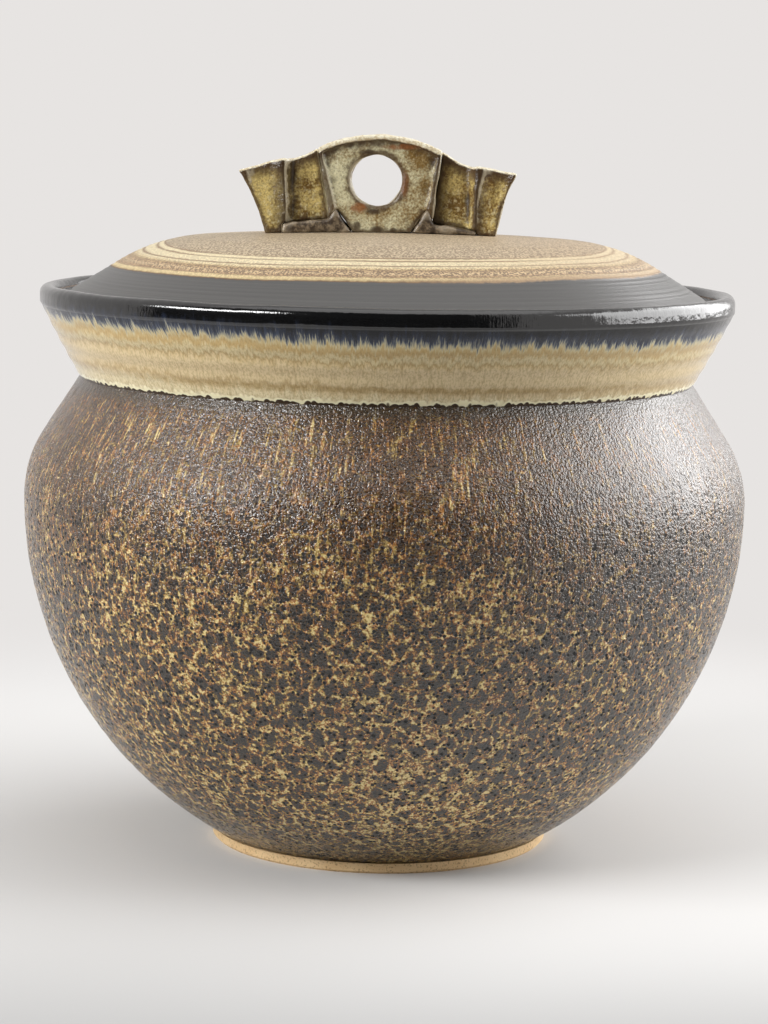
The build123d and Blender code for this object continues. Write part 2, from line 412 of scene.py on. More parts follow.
run_streaks = effect(body_glaze, glaze_runs, Width=1.0 * mm, Length=8 * mm)
run_fade = body_glaze.ease(height_above, 135 * mm, 70 * mm, 0.0, 0.55)
run_start = body_glaze.ease(height_above, 156 * mm, 166 * mm, 0.0, 0.14)
run_terms = [(run_streaks, 2.7), (dust, 1.15), (patches, 0.45), (gritty, 0.6)]
run_field = body_glaze.total(-2.25, *run_terms, (run_fade, -1), (run_start, -1))
field = body_glaze.sum("MAXIMUM", net_field, run_field)
# Painted shade on the right-hand side: towards +x the net thins out and, below, the ground turns
# darker.
painted_right_shade = body_glaze.ease(body_glaze.across, 20 * mm, 110 * mm)
field = body_glaze.sum("MULTIPLY_ADD", painted_right_shade, -0.16, field)

shoulder = body_glaze.ease(height_above, 96 * mm, 150 * mm)
paler = body_glaze.ease(grit, 0.36, 0.66)
under_low = body_glaze.mix(paler, tone(13, 11, 9), tone(62, 51, 38))
under_high = body_glaze.mix(paler, tone(40, 25, 13), tone(94, 66, 37))
under = body_glaze.mix(shoulder, under_low, under_high)
# Painted shade: the ground darkens towards the right-hand side.
under = body_glaze.mix(body_glaze.sum("MULTIPLY", painted_right_shade, 0.4), under, tone(38, 33, 27))
yellow = body_glaze.ease(hue, 0.42, 0.6)
veil = body_glaze.mix(yellow, tone(99, 61, 26), tone(103, 78, 36))
net_colour = body_glaze.mix(yellow, tone(173, 118, 57), tone(171, 142, 75))
colour = body_glaze.mix(body_glaze.ease(field, -0.24, 0.14, 0.0, 0.85), under, veil)
colour = body_glaze.mix(body_glaze.ease(field, 0.1, 0.4), colour, net_colour)
colour = body_glaze.mix(body_glaze.ease(field, 0.38, 0.72), colour, tone(227, 203, 137))
near_foot = body_glaze.ease(height_above, 30 * mm, 8 * mm, 0.0, 0.55)
colour = body_glaze.mix(near_foot, colour, tone(56, 46, 29))
neck_edge = body_glaze.sum("MULTIPLY_ADD", run_streaks, 5 * mm, height_above)
neck_band = body_glaze.ease(neck_edge, 165.8 * mm, 168.6 * mm, 0.0, 0.75)
colour = body_glaze.mix(neck_band, colour, tone(52, 43, 31))
pits = effect(body_glaze, pin_holes, Spacing=2.2 * mm, Radius=0.7 * mm)
pits = body_glaze.sum("MULTIPLY", pits, body_glaze.ease(height_above, 158 * mm, 120 * mm))
# The pits are painted near black: painted shade inside each hole.
colour = body_glaze.mix(pits, colour, tone(6, 5, 4))
leather = body_glaze.sum("MULTIPLY_ADD", grit, 0.7, body_glaze.noise(1.1 * mm))
height = body_glaze.total(leather, (body_glaze.ease(field, 0.0, 0.5), 0.12), (pits, -1.0))
dullness = body_glaze.sum("MULTIPLY_ADD", pits, pit_roughness - body_roughness, body_roughness)
body_finish = finish_glaze(body_glaze, colour, height, 0.5 * mm, dullness)

liner_glaze = start_glaze("liner_glaze", 0.32)
liner_cloud = liner_glaze.noise(14 * mm, detail=4.0)
liner_colour = liner_glaze.mix(liner_cloud, tone(120, 92, 70), tone(160, 132, 106))
liner_specks = effect(liner_glaze, iron_specks, Size=1.1 * mm, Cover=0.38)
liner_colour = liner_glaze.mix(liner_specks, liner_colour, tone(78, 58, 44))
liner_finish = finish_glaze(liner_glaze, liner_colour, liner_glaze.noise(2.5 * mm), 0.15 * mm)


def line_inside(piece, is_inside):
    """Gives the faces of the inside the liner's finish."""
    piece.data.materials.append(liner_finish)
    slot = len(piece.data.materials) - 1
    for face in piece.data.polygons:
        if is_inside(face):
            face.material_index = slot


body_wall.data.materials.append(body_finish)
line_inside(body_wall, inside_body)
settle(body_wall, "pot", "body_glaze", "thrown_body")


# The foot ring, turned from the base when the clay was leather hard and left bare: buff
# stoneware with fine iron specks. The gallery that carries the lid and the flange under the lid
# are bare as well. All three show the turned shape of their own solids.
bare_clay = start_glaze("bare_buff_clay", 0.82)
clay_cloud = bare_clay.noise(7 * mm, detail=4.0)
clay_colour = bare_clay.mix(clay_cloud, tone(204, 168, 120), tone(232, 204, 158))
clay_specks = effect(bare_clay, iron_specks, Size=0.7 * mm, Cover=0.36)
clay_specks = bare_clay.sum("MULTIPLY", clay_specks, 0.6)
clay_colour = bare_clay.mix(clay_specks, clay_colour, tone(124, 92, 58))
clay_grain = bare_clay.noise(0.7 * mm, detail=3.0)
clay_finish = finish_glaze(bare_clay, clay_colour, clay_grain, 0.15 * mm)
for node in ("foot_ring", "lid_gallery", "lid_flange"):
    bare_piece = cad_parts[node]
    bare_piece.data.materials.clear()
    bare_piece.data.materials.append(clay_finish)


# The collar, thrown on top of the shoulder and leaning out, with faint throwing rings. Tan glaze
# with upright streaks, a bright bead of cream above the neck's dark scalloped edge, and the rim's
# black glaze run over it.
collar_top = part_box("rolled_rim")[0].z
collar_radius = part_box("collar")[1].x
collar_bow = 0.3 * mm
collar_bore = collar_radius - 6.6 * mm
ring_pitch = 5.6 * mm
ring_depth = 0.32 * mm
collar_rows = 32
collar_steps = 400


def collar_line(share):
    """The collar's outer line, from the neck at 0 to the rim at 1."""
    bow = 4 * collar_bow * share * (1 - share)
    level = neck_level + (collar_top - neck_level) * share
    rings = ring_depth * math.sin(2 * math.pi * (level - neck_level) / ring_pitch)
    fade = min(1, 6 * share, 6 * (1 - share))
    return (neck_radius + (collar_radius - neck_radius) * share + bow + rings * fade / 2, level)


collar_outline = [
    (neck_radius - wall, neck_level),
    *[collar_line(i / collar_rows) for i in range(collar_rows + 1)],
    *straight((collar_bore, collar_top), (neck_radius - wall, neck_level), coarse_pace),
]
collar_wall = throw("collar_wall", collar_outline, collar_steps)

black = tone(13, 13, 14)
ink_blue = tone(37, 45, 62)
dip_tilt = 0.017


def black_over_tan(name, roughness, refraction):
    """Colours by level, with streaks: cream bead, tan, an ochre band, pale tips and black runs."""
    glaze = start_glaze(name, roughness, refraction)
    fine = effect(glaze, glaze_runs, Width=0.42 * mm, Length=3.4 * mm)
    medium = effect(glaze, glaze_runs, Width=1.3 * mm, Length=4.5 * mm)
    broad = effect(glaze, glaze_runs, Width=2.6 * mm, Length=14 * mm)
    drift = glaze.noise(40 * mm)
    level = glaze.sway(broad, 6 * mm, glaze.level)
    level = glaze.sway(drift, 3 * mm, level)
    level = glaze.sum("MULTIPLY_ADD", glaze.across, dip_tilt, level)
    level = glaze.sway(medium, 4 * mm, level)
    run_reach = glaze.ease(level, 180 * mm, 187 * mm, 2 * mm, 5.5 * mm)
    level = glaze.sway(fine, run_reach, level)
    colour = glaze.bands(
        level,
        [
            (170.4 * mm, tone(226, 210, 168)),
            (172.0 * mm, tone(218, 196, 150)),
            (173.6 * mm, tone(190, 164, 116)),
            (175.0 * mm, tone(216, 194, 150)),
            (180.0 * mm, tone(220, 198, 154)),
            (181.4 * mm, tone(212, 188, 140)),
            (182.2 * mm, tone(180, 154, 104)),
            (183.0 * mm, tone(210, 192, 148)),
            (184.2 * mm, tone(214, 196, 150)),
            (185.4 * mm, tone(194, 164, 108)),
            (187.0 * mm, tone(190, 164, 112)),
            (188.0 * mm, tone(204, 188, 144)),
            (189.0 * mm, tone(140, 138, 126)),
            (189.8 * mm, tone(62, 71, 90)),
            (190.8 * mm, ink_blue),
            (192.6 * mm, tone(26, 29, 38)),
            (194.2 * mm, black),
        ],
    )
    veins = effect(glaze, glaze_runs, Width=0.6 * mm, Length=4 * mm)
    vein_share = glaze.ease(level, 187 * mm, 185 * mm, 0.0, 0.32)
    veins = glaze.sum("MULTIPLY", glaze.ease(veins, 0.5, 0.68), vein_share)
    colour = glaze.mix(veins, colour, tone(150, 122, 78))
    mottle = glaze.ease(glaze.noise(0.6 * mm, glaze.stretch((1, 1, 0.45))), 0.46, 0.62)
    mottle = glaze.sum("MULTIPLY", mottle, glaze.ease(level, 188 * mm, 186 * mm, 0.0, 0.38))
    colour = glaze.mix(mottle, colour, tone(154, 130, 80))
    tips = effect(glaze, glaze_runs, Width=0.36 * mm, Length=3 * mm)
    tip_share = glaze.ease(drift, 0.42, 0.58, 0.45, 1.0)
    tips = glaze.sum("MULTIPLY", glaze.ease(tips, 0.5, 0.64, 0.0, 0.7), tip_share)
    tips = glaze.sum("MULTIPLY", tips, glaze.ease(level, 186 * mm, 188 * mm))
    tips = glaze.sum("MULTIPLY", tips, glaze.ease(level, 191.6 * mm, 189.2 * mm))
    colour = glaze.mix(tips, colour, tone(206, 198, 164))
    lobes = glaze.sum("SUBTRACT", glaze.cells(2.1 * mm, "F1"), 0.45)
    bead = glaze.sum("MULTIPLY_ADD", lobes, 1.8 * mm, glaze.level)
    colour = glaze.mix(glaze.ease(bead, 170.3 * mm, 169.4 * mm), colour, tone(255, 246, 206))
    colour = glaze.mix(glaze.ease(bead, 169.0 * mm, 168.7 * mm), colour, tone(62, 46, 31))
    height = glaze.sum("MULTIPLY_ADD", fine, 0.3, glaze.noise(3.4 * mm, detail=3.0))
    return finish_glaze(glaze, colour, height, 0.16 * mm)


collar_wall.data.materials.append(black_over_tan("streaked_collar_glaze", 0.13, 1.5))
line_inside(collar_wall, faces_axis)
settle(collar_wall, "pot", "collar_glaze", "collar")


# The rim, the collar's top edge rolled over to a full round above an upright face. It was dipped
# in a glossy black glaze that thins to a bluish edge on the collar below.
rim_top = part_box("rolled_rim")[1].z
rim_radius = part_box("rolled_rim")[1].x
lip_bend = 3 * mm
lip_face = 3.3 * mm
lip_pace = 0.6 * mm
lip_fade = 2 * mm
round_level = rim_top - lip_bend
face_level = round_level - lip_face
rim_outline = [
    (collar_bore, collar_top),
    *straight((collar_radius, collar_top), (rim_radius - 0.2 * mm, face_level), lip_pace),
    *straight((rim_radius, face_level + lip_pace), (rim_radius, round_level), lip_pace),
    *arc((rim_radius - lip_bend, round_level), lip_bend, 0, math.pi, 0.5 * mm),
    *straight((rim_radius - 2 * lip_bend, round_level), (collar_bore, collar_top), 1.2 * mm),
]
rim_roll = throw("rim_roll", rim_outline, collar_steps)
weigh(rim_roll, "lip", lambda radius, level, normal: (level - collar_top) / lip_fade)
roughen(rim_roll, 26 * mm, 0.5 * mm, "lip")
rim_roll.data.materials.append(black_over_tan("black_rim_glaze", 0.12, 1.7))
line_inside(rim_roll, lambda face: face.normal.z < 0.2 and faces_axis(face))
settle(rim_roll, "pot", "rim_glaze", "rolled_rim")


# The lid's plate: a shallow dome thrown upside down and turned, so it shows fine turning lines.
# Satin dark grey border, then brushed stripes of cream slip, then a speckled beige crown.
lid_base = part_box("lid_dome")[0].z
lid_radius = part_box("lid_dome")[1].x
crown_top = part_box("lid_dome")[1].z
flange_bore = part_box("lid_flange")[1].x - 6 * mm
edge_top = lid_base + 6 * mm
edge_round = 5.5 * mm
foot_round = 1.2 * mm
shoulder_radius = lid_radius - 17 * mm
shoulder_level = edge_top + 10.4 * mm
crown_radius = shoulder_radius - 30 * mm
crown_level = shoulder_level + 10.2 * mm
lid_wall = 6.5 * mm
turning_pitch = 1.9 * mm
turning_depth = 0.12 * mm
lid_pace = 0.62 * mm
lid_steps = 360


def rounded(before, corner, after, bend, pace):
    """The arc that rounds a corner between two straight stretches."""
    point = Vector(corner)
    back = (Vector(before) - point).normalized()
    ahead = (Vector(after) - point).normalized()
    half = back.angle(ahead) / 2
    centre = point + (back + ahead).normalized() * bend / math.sin(half)
    first = point + back * bend / math.tan(half) - centre
    last = point + ahead * bend / math.tan(half) - centre
    start = math.atan2(first.y, first.x)
    sweep = (math.atan2(last.y, last.x) - start + math.pi) % (2 * math.pi) - math.pi
    return arc(tuple(centre), bend, start, start + sweep, pace)


def dome_line(top, crown, shoulder, pace):
    """The dome from the middle outwards: a nearly flat crown and a tighter, tangent shoulder."""
    rise = top - crown[1]
    crown_bend = (crown[0] ** 2 + rise**2) / (2 * rise)
    slope = math.asin(crown[0] / crown_bend)
    chord = math.dist(crown, shoulder)
    fall = math.atan2(crown[1] - shoulder[1], shoulder[0] - crown[0])
    sweep = 2 * (fall - slope)
    bend = chord / (2 * math.sin(sweep / 2))
    crown_arc = arc((0, top - crown_bend), crown_bend, math.pi / 2, math.pi / 2 - slope, pace)
    centre = (crown[0] - bend * math.sin(slope), crown[1] - bend * math.cos(slope))
    start = math.pi / 2 - slope
    return crown_arc + arc(centre, bend, start, start - sweep, pace)


def turned(outline):
    """Adds the shallow turning lines, which fade out near the axis and near the edge."""
    cut = []
    for radius, level in outline:
        inner_fade = (radius - 50 * mm) / (20 * mm)
        outer_fade = (lid_radius - 4 * mm - radius) / (4 * mm)
        fade = max(0, min(1, inner_fade, outer_fade))
        wave = math.sin(2 * math.pi * radius / turning_pitch)
        wave += math.sin(5.3 * radius / turning_pitch)
        cut.append((radius, level + turning_depth / 2 * wave * fade))
    return cut


crown_edge = (crown_radius, crown_level)
lid_shoulder = (shoulder_radius, shoulder_level)
border_end = (lid_radius - 4.6 * mm, edge_top + 2.81 * mm)
lid_corner = (lid_radius, edge_top)
lid_foot = (lid_radius, lid_base)
flange_root = (flange_bore, lid_base)
lid_outline = [
    *turned(dome_line(crown_top, crown_edge, lid_shoulder, lid_pace)),
    *turned(straight(lid_shoulder, border_end, lid_pace)),
    *rounded(lid_shoulder, lid_corner, lid_foot, edge_round, 0.5 * mm),
    *rounded(lid_corner, lid_foot, flange_root, foot_round, 0.4 * mm),
    *straight((lid_radius - foot_round, lid_base), flange_root, coarse_pace),
    *reversed(
        dome_line(
            crown_top - lid_wall,
            (crown_radius, crown_level - lid_wall),
            (flange_bore, shoulder_level - lid_wall),
            coarse_pace,
        )
    ),
]
lid_plate = throw("lid_plate", lid_outline, lid_steps)

crown_roughness = 0.52
border_roughness = 0.38
lid_glaze = start_glaze("striped_lid_glaze", crown_roughness)
off_centre = lid_glaze.sum("ADD", lid_glaze.across, 1.2 * mm)
lid_reach = lid_glaze.reach(off_centre, lid_glaze.deep)
brush = lid_glaze.sway(lid_glaze.noise(60 * mm, detail=1.0), 2.4 * mm, lid_reach)
inner_shift = lid_glaze.ease(lid_glaze.deep, 10 * mm, -75 * mm, 4.2 * mm, -3.2 * mm)
inner_share = lid_glaze.ease(brush, 97 * mm, 81 * mm)
brush = lid_glaze.sum("MULTIPLY_ADD", inner_shift, inner_share, brush)
brush = lid_glaze.sway(lid_glaze.noise(2.2 * mm, detail=3.0), 1.0 * mm, brush)
beige = tone(196, 178, 148)
slip = tone(228, 213, 176)
umber = tone(138, 110, 82)
rosy = tone(196, 168, 132)
stripes = lid_glaze.bands(
    brush,
    [
        (81.6 * mm, beige),
        (82.2 * mm, umber),
        (82.9 * mm, slip),
        (84.0 * mm, slip),
        (84.8 * mm, umber),
        (85.6 * mm, slip),
        (88.2 * mm, slip),
        (88.9 * mm, umber),
        (89.6 * mm, slip),
        (90.8 * mm, tone(222, 200, 156)),
        (92.0 * mm, tone(176, 150, 112)),
        (93.2 * mm, rosy),
        (94.2 * mm, tone(214, 190, 150)),
        (95.0 * mm, rosy),
        (96.0 * mm, tone(174, 146, 112)),
        (96.7 * mm, tone(220, 200, 154)),
        (97.5 * mm, tone(206, 184, 138)),
        (98.2 * mm, tone(120, 92, 62)),
        (98.8 * mm, tone(58, 55, 52)),
    ],
)
lid_specks = effect(lid_glaze, iron_specks, Size=0.75 * mm, Cover=0.47)
speck_shares = [(81.6, 0.7), (82.8, 0.16), (90.0, 0.36), (92.4, 0.8), (95.4, 0.8), (96.8, 0.25)]
speck_place = lid_glaze.bands(
    brush, [(reach * mm, (share, share, share, 1)) for reach, share in speck_shares]
)
worn_line = lid_glaze.sum(
    "MULTIPLY",
    lid_glaze.ease(brush, 96.2 * mm, 96.8 * mm, 0.0, 0.8),
    lid_glaze.ease(lid_glaze.across, -10 * mm, 50 * mm),
)
stripes = lid_glaze.mix(worn_line, stripes, tone(176, 148, 116))
worn_slip = lid_glaze.sum(
    "MULTIPLY",
    lid_glaze.ease(brush, 91.6 * mm, 90.6 * mm),
    lid_glaze.ease(lid_glaze.across, 10 * mm, 70 * mm, 0.0, 0.4),
)
stripes = lid_glaze.mix(worn_slip, stripes, rosy)
lid_specks = lid_glaze.sum("MULTIPLY", lid_specks, speck_place)
lid_colour = lid_glaze.mix(lid_specks, stripes, tone(110, 90, 72))
line_place = lid_glaze.add("ShaderNodeCombineXYZ", {0: lid_reach}).outputs[0]
turning_lines = lid_glaze.noise(0.9 * mm, line_place, detail=3.0)
border = lid_glaze.ease(brush, 98.2 * mm, 99.0 * mm)
border_tone = lid_glaze.mix(turning_lines, tone(58, 57, 56), tone(92, 91, 89))
lid_colour = lid_glaze.mix(border, lid_colour, border_tone)
lid_height = lid_glaze.sum("MULTIPLY_ADD", lid_glaze.noise(0.9 * mm), speck_place, turning_lines)
smoother = border_roughness - crown_roughness
lid_roughness = lid_glaze.sum("MULTIPLY_ADD", border, smoother, crown_roughness)
lid_finish = finish_glaze(lid_glaze, lid_colour, lid_height, 0.14 * mm, lid_roughness)
lid_plate.data.materials.append(lid_finish)
line_inside(lid_plate, lambda face: face.normal.z < -0.3)
settle(lid_plate, "lid", "lid_glaze", "lid_dome")


# The handle is built by hand from slabs: an arch with a finger hole and a stepped, fluted wing on
# each side. Its edges are softened by a wet sponge and its faces are slightly uneven.
grain_size = 0.45 * mm


def sponge(name, node, passes, unevenness):
    """A copy of the node's solid with softened edges and slightly uneven faces."""
    piece = bpy.data.objects.new(name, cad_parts[node].data.copy())
    bpy.context.scene.collection.objects.link(piece)
    bpy.ops.object.select_all(action="DESELECT")
    piece.select_set(True)
    bpy.context.view_layer.objects.active = piece
    bpy.ops.object.mode_set(mode="EDIT")
    bpy.ops.mesh.select_all(action="SELECT")
    bpy.ops.mesh.remove_doubles(threshold=0.001 * mm)
    bpy.ops.object.mode_set(mode="OBJECT")
    skin = piece.modifiers.new("skin", "REMESH")
    skin.mode = "VOXEL"
    skin.voxel_size = grain_size
    bpy.ops.object.modifier_apply(modifier="skin")
    soften = piece.modifiers.new("soften", "SMOOTH")
    soften.factor = 0.5
    soften.iterations = passes
    bpy.ops.object.modifier_apply(modifier="soften")
    roughen(piece, 7 * mm, unevenness)
    roughen(piece, 1.6 * mm, 0.14 * mm)
    bpy.ops.object.shade_smooth()
    piece.data.materials.clear()
    return piece


def read(items, name, width, kind=float):
    """The named values of all points or edges, as rows of that width."""
    values = np.empty(width * len(items), dtype=kind)
    items.foreach_get(name, values)
    return values.reshape(-1, width)


def mark(piece, name, amounts):
    """Stores one amount per point under that name, for the finish to read."""
    kept = piece.data.attributes.new(name, "FLOAT", "POINT")
    kept.data.foreach_set("value", amounts.astype(np.float32))


def mark_edges(piece, passes):
    """Stores how far each point stands out of its smoothed surroundings, and where it faces."""
    mesh = piece.data
    count = len(mesh.vertices)
    points = read(mesh.vertices, "co", 3)
    normals = read(mesh.vertices, "normal", 3)
    one, other = read(mesh.edges, "vertices", 2, np.int64).T
    neighbours = np.bincount(one, minlength=count) + np.bincount(other, minlength=count)
    smooth = points.copy()
    for _ in range(passes):
        totals = [
            np.bincount(one, side[other], count) + np.bincount(other, side[one], count)
            for side in smooth.T
        ]
        smooth = np.stack(totals, axis=1) / neighbours[:, None]
    mark(piece, "edge", ((points - smooth) * normals).sum(axis=1))
    mark(piece, "rightward", normals[:, 0])
    mark(piece, "upward", normals[:, 2])


def mark_depth(piece):
    """Stores how far each point lies below the piece's top line, in metres, as depth."""
    across, _, level = read(piece.data.vertices, "co", 3).T
    columns = ((across - across.min()) / grain_size).astype(int)
    tops = np.zeros(columns.max() + 1)
    np.maximum.at(tops, columns, level)
    mark(piece, "depth", tops[columns] - level)


def blot(glaze, colour, middle, reach, stain, wobble):
    """A small stain in the glaze, at that place across and above, with a ragged outline."""
    gaps = [
        glaze.sum("DIVIDE", glaze.sum("SUBTRACT", place, centre), half)
        for place, centre, half in zip((glaze.across, glaze.level), middle, reach)
    ]
    squares = glaze.sum("ADD", *[glaze.sum("POWER", gap, 2) for gap in gaps])
    ragged = glaze.sum("MULTIPLY_ADD", wobble, 3.5, squares)
    return glaze.mix(glaze.ease(ragged, 2.0, 0.2, 0.0, 0.85), colour, stain)


def paint_corner_shade(glaze, colour, start, end, stain, wobble):
    """Painted shade in an upright corner: darkest at the start, fading out towards the end."""
    side = math.copysign(1, end - start)
    place = glaze.sum("MULTIPLY_ADD", wobble, 4 * mm, glaze.across)
    amount = glaze.sum(
        "MULTIPLY",
        glaze.ease(place, end, start, 0.0, 0.8),
        glaze.ease(glaze.across, start - side * 1.2 * mm, start - side * 0.2 * mm),
    )
    return glaze.mix(amount, colour, stain)


def mix_handle_glaze(name, dark_tone, pale_tone, painted_light_lean, crystals, line, painted_shade_corners, stains):
    """The handle's satin ochre glaze: brown where it breaks over edges, darker in the hollows.

    It turns paler towards the left: painted light from the left side, by an amount set per glaze.
    Painted shade lies in the corners given, and a painted highlight on proud edges that face right.
    Crystals grew low down, the line is the height of the pale top edge, part glaze and part painted
    light from above, and stains are given by place and reach.
    """
    glaze = start_glaze(name, 0.34)
    edge, depth, rightward, upward = [
        glaze.add("ShaderNodeAttribute", attribute_name=kept).outputs["Fac"]
        for kept in ("edge", "depth", "rightward", "upward")
    ]
    fine = glaze.noise(0.8 * mm)
    mottle = glaze.noise(1.4 * mm, detail=3.0)
    wobble = glaze.sum("SUBTRACT", glaze.noise(2.6 * mm, detail=3.0), 0.5)
    # Paler towards the left: painted light from the left side, over a random cloud of tone.
    cloud_and_painted_light = glaze.total(glaze.noise(7 * mm), (glaze.across, painted_light_lean), (fine, 0.8))
    colour = glaze.mix(glaze.ease(cloud_and_painted_light, 0.65, 1.15), dark_tone, pale_tone)
    low = glaze.ease(depth, 5 * mm, 18 * mm, 0.15, crystals)
    grown = glaze.sum("MULTIPLY", glaze.ease(mottle, 0.5, 0.64), low)
    colour = glaze.mix(grown, colour, tone(222, 210, 166))
    brown = tone(70, 50, 34)
    jagged = glaze.sum("MULTIPLY_ADD", wobble, 1.1 * mm, edge)
    colour = glaze.mix(glaze.ease(jagged, 0.1 * mm, 0.6 * mm, 0.0, 0.8), colour, brown)
    # Darker in the hollows, where the surface lies below its smoothed surroundings.
    colour = glaze.mix(glaze.ease(jagged, -0.1 * mm, -0.7 * mm, 0.0, 0.9), colour, tone(50, 38, 26))
    ragged = glaze.sum("MULTIPLY_ADD", wobble, 5 * mm, depth)
    colour = glaze.mix(glaze.ease(ragged, 6.5 * mm, 1.8 * mm, 0.0, 0.85), colour, brown)
    # Painted shade in the upright corners given for this glaze.
    for start, end in painted_shade_corners:
        colour = paint_corner_shade(glaze, colour, start, end, tone(56, 41, 24), wobble)
    for middle, reach, stain in stains:
        colour = blot(glaze, colour, middle, reach, stain, wobble)
    fine_specks = effect(glaze, iron_specks, Size=0.6 * mm, Cover=0.42)
    colour = glaze.mix(glaze.sum("MULTIPLY", fine_specks, 0.28), colour, tone(74, 56, 34))
    # Proud edges that face right are painted paler: a painted highlight from the lamp on the right.
    proud = glaze.ease(jagged, 0.05 * mm, 0.25 * mm)
    lit_side = glaze.sum("MULTIPLY", glaze.ease(rightward, 0.2, 0.5), proud)
    colour = glaze.mix(glaze.sum("MULTIPLY", lit_side, 0.7), colour, tone(196, 184, 156))
    # The top edge and the faces that look up turn pale cream: partly glaze that broke thin over the
    # rounded top, partly painted light from above.
    top_tone = glaze.mix(glaze.ease(mottle, 0.4, 0.6), tone(212, 196, 162), tone(242, 234, 208))
    top_line = glaze.sum("MULTIPLY_ADD", wobble, 0.8 * mm, depth)
    colour = glaze.mix(glaze.ease(top_line, line + 0.3 * mm, line - 0.3 * mm), colour, top_tone)
    top_glaze_and_painted_light = glaze.sum("MULTIPLY", glaze.ease(upward, 0.3, 0.6), glaze.ease(depth, 5 * mm, 3 * mm))
    colour = glaze.mix(top_glaze_and_painted_light, colour, top_tone)
    return finish_glaze(glaze, colour, glaze.noise(1.0 * mm, detail=3.0), 0.3 * mm)


wing_glaze = mix_handle_glaze(
    "wing_glaze",
    dark_tone=tone(112, 83, 32),
    pale_tone=tone(217, 194, 124),
    painted_light_lean=-1.5,
    crystals=0.6,
    line=0.7 * mm,
    painted_shade_corners=[
        (-37 * mm, -30 * mm),
        (-38 * mm, -44 * mm),
        (16 * mm, 23 * mm),
        (31 * mm, 36 * mm),
    ],
    stains=[],
)
hole_stain = tone(58, 42, 28)
rusty = tone(140, 86, 44)
arch_glaze = mix_handle_glaze(
    "arch_glaze",
    dark_tone=tone(130, 102, 52),
    pale_tone=tone(214, 208, 172),
    painted_light_lean=-7.0,
    crystals=0.3,
    line=1.9 * mm,
    painted_shade_corners=[(-27.5 * mm, -22.5 * mm), (18.5 * mm, 14.5 * mm)],
    stains=[
        ((-5.8 * mm, 227.3 * mm), (2.5 * mm, 0.9 * mm), hole_stain),
        ((-11.4 * mm, 222.4 * mm), (1.1 * mm, 1.3 * mm), hole_stain),
        ((-4.5 * mm, 221.2 * mm), (2.0 * mm, 1.1 * mm), hole_stain),
        ((1.5 * mm, 221.0 * mm), (1.2 * mm, 0.7 * mm), hole_stain),
        ((-8.0 * mm, 248.4 * mm), (2.6 * mm, 0.9 * mm), hole_stain),
        ((-10.8 * mm, 228.8 * mm), (2.4 * mm, 1.6 * mm), rusty),
        ((5.6 * mm, 237.0 * mm), (1.2 * mm, 4.5 * mm), tone(116, 74, 40)),
        ((5.0 * mm, 250.4 * mm), (6.0 * mm, 0.9 * mm), rusty),
    ],
)
for name, node, finish in (
    ("handle_bow", "handle_arch", arch_glaze),
    ("wing_left", "handle_wing_left", wing_glaze),
    ("wing_right", "handle_wing_right", wing_glaze),
):
    slab = sponge(name, node, 14, 0.9 * mm)
    mark_edges(slab, 50)
    mark_depth(slab)
    slab.data.materials.append(finish)
    settle(slab, "lid", "handle_glaze", node)


# Luting clay, pressed along the root of the handle on both sides to fix it to the lid. It took a
# thick glaze that fired to a mottled grey-brown.
root_glaze = start_glaze("luting_glaze_finish", 0.36)
root_edge = root_glaze.add("ShaderNodeAttribute", attribute_name="edge").outputs["Fac"]
root_cloud = root_glaze.noise(2.4 * mm, detail=3.0)
root_share = root_glaze.ease(root_cloud, 0.38, 0.62)
root_colour = root_glaze.mix(root_share, tone(66, 53, 40), tone(128, 112, 90))
root_specks = effect(root_glaze, iron_specks, Size=0.8 * mm, Cover=0.42)
root_specks = root_glaze.sum("MULTIPLY", root_specks, 0.6)
root_colour = root_glaze.mix(root_specks, root_colour, tone(50, 40, 32))
root_proud = root_glaze.ease(root_edge, 0.6 * mm, 1.0 * mm, 0.0, 0.4)
root_colour = root_glaze.mix(root_proud, root_colour, tone(178, 164, 140))
root_height = root_glaze.noise(1.2 * mm, detail=3.0)
root_finish = finish_glaze(root_glaze, root_colour, root_height, 0.3 * mm)
handle_root = sponge("handle_root", "handle_luting", 30, 1.6 * mm)
mark_edges(handle_root, 40)
handle_root.data.materials.append(root_finish)
settle(handle_root, "lid", "luting_glaze", "handle_luting")


# The pale floor that the pot stands on; its front is painted darker, as painted shade. Further
# out it gives the plain tone of the background to the eye and to reflections, and it always keeps
# the pot's shadow.
backdrop = tone(231, 228, 226)
bpy.ops.object.select_all(action="DESELECT")
bpy.ops.mesh.primitive_circle_add(vertices=96, radius=30, fill_type="NGON", location=(0, 0, 0))
ground = bpy.context.object
ground.name = "ground"
front_start = -0.1
front_end = -0.32
plain_start = 0.2
plain_end = 0.5


def seen_rays(recipe):
    """1 for what the eye sees, also in a reflection or through glass, and 0 for light."""
    rays = recipe.add("ShaderNodeLightPath").outputs
    seen = recipe.sum("MAXIMUM", rays["Is Camera Ray"], rays["Is Glossy Ray"])
    return recipe.sum("MAXIMUM", seen, rays["Is Transmission Ray"])


ground_mix = start_glaze("pale_ground", 0.9)
ground_mix.shader.inputs["Specular IOR Level"].default_value = 0.1
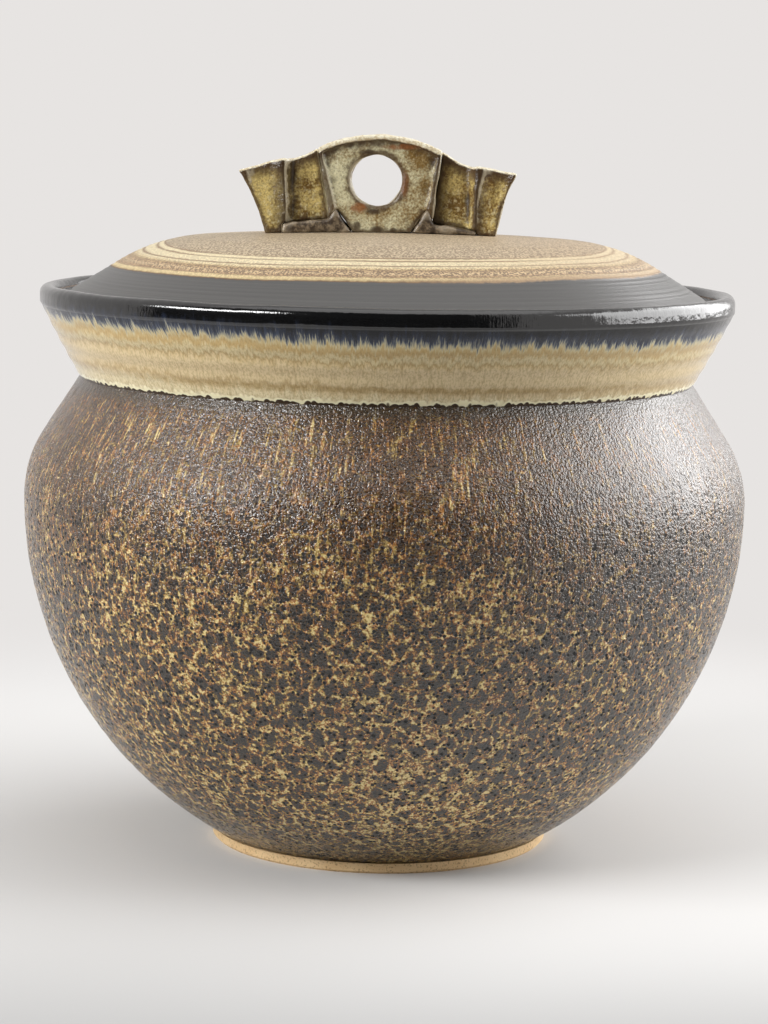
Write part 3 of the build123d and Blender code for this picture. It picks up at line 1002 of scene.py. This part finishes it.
# Painted shade: the floor is painted darker in front of the pot.
front_painted_shade = ground_mix.ease(ground_mix.deep, front_start, front_end)
ground_tone = ground_mix.mix(front_painted_shade, tone(217, 216, 215), tone(158, 158, 158))
finish_glaze(ground_mix, ground_tone)
far = ground_mix.ease(ground_mix.reach(ground_mix.across, ground_mix.deep), plain_start, plain_end)
far_seen = ground_mix.sum("MULTIPLY", far, seen_rays(ground_mix))
glow = ground_mix.add("ShaderNodeEmission", {"Color": backdrop, "Strength": 1.0}).outputs[0]
blend_inputs = {0: far_seen, 1: ground_mix.shader.outputs[0], 2: glow}
blend = ground_mix.add("ShaderNodeMixShader", blend_inputs).outputs[0]
ground_mix.feed(ground_mix.tree.nodes["Material Output"].inputs[0], blend)
ground.data.materials.append(ground_mix.material)

world = bpy.data.worlds.new("studio")
bpy.context.scene.world = world
world.use_nodes = True
sky = Recipe(world.node_tree)
sky_light = sky.tree.nodes["Background"]
sky.feed(sky_light.inputs["Color"], (1.0, 0.99, 0.98, 1))
sky.feed(sky_light.inputs["Strength"], 0.36)
sky_shown = sky.add("ShaderNodeBackground", {"Color": backdrop}).outputs[0]
sky_inputs = {0: seen_rays(sky), 1: sky_light.outputs[0], 2: sky_shown}
sky_blend = sky.add("ShaderNodeMixShader", sky_inputs).outputs[0]
sky.feed(sky.tree.nodes["World Output"].inputs[0], sky_blend)


# Soft studio light: a large soft box on the right, a smaller one in front on the left, and one
# overhead. A dark curtain that the camera doesn't see lies on the floor in front and hangs behind
# the camera, so that the black glaze stays black.
def soft_box(name, place, aim, width, height, power):
    """A rectangular lamp at a place, turned to an aim."""
    lamp = bpy.data.lights.new(name, "AREA")
    lamp.shape = "RECTANGLE"
    lamp.size = width
    lamp.size_y = height
    lamp.energy = power
    holder = bpy.data.objects.new(name, lamp)
    bpy.context.scene.collection.objects.link(holder)
    holder.location = place
    holder.rotation_euler = (Vector(place) - Vector(aim)).to_track_quat("Z", "Y").to_euler()
    holder.visible_camera = False


middle = (0, 0, 0.12)
soft_box("right_box", (1.19, 0.39, 0.62), middle, width=2.0, height=1.1, power=34)
soft_box("left_box", (-0.92, -0.6, 0.66), middle, width=0.75, height=0.28, power=14)
soft_box("top_box", (0.05, -0.2, 1.3), middle, width=1.4, height=1.0, power=4)

curtain_reach = 2.2
curtain_top = 3.2
curtain_start = 0.6
curtain_level = 2 * mm
curtain_left = -85
curtain_right = 40
curtain_line = [
    (curtain_start, curtain_level),
    (curtain_reach, curtain_level),
    (curtain_reach, curtain_top),
]
curtain = throw("dark_curtain", curtain_line, 48)
bpy.ops.object.mode_set(mode="EDIT")
bpy.ops.mesh.select_mode(type="FACE")
bpy.ops.object.mode_set(mode="OBJECT")
for face in curtain.data.polygons:
    azimuth = math.degrees(math.atan2(face.center.x, -face.center.y))
    face.select = not curtain_left < azimuth < curtain_right
bpy.ops.object.mode_set(mode="EDIT")
bpy.ops.mesh.delete(type="FACE")
bpy.ops.object.mode_set(mode="OBJECT")
curtain_finish = finish_glaze(start_glaze("dark_curtain", 0.5), tone(40, 40, 40))
curtain.data.materials.append(curtain_finish)
curtain.visible_camera = False


# The camera stands a metre in front and looks slightly down, turned a degree about its own axis.
lens = bpy.data.cameras.new("camera")
lens.lens = 97.59
camera = bpy.data.objects.new("camera", lens)
bpy.context.scene.collection.objects.link(camera)
eye = (0, -1.0, 0.2551)
down_tilt = 7.765
own_turn = 1.01
camera.matrix_world = (
    Matrix.Translation(eye)
    @ Matrix.Rotation(math.radians(90 - down_tilt), 4, "X")
    @ Matrix.Rotation(math.radians(own_turn), 4, "Z")
)
bpy.context.scene.camera = camera
bpy.context.scene.view_settings.view_transform = "Standard"
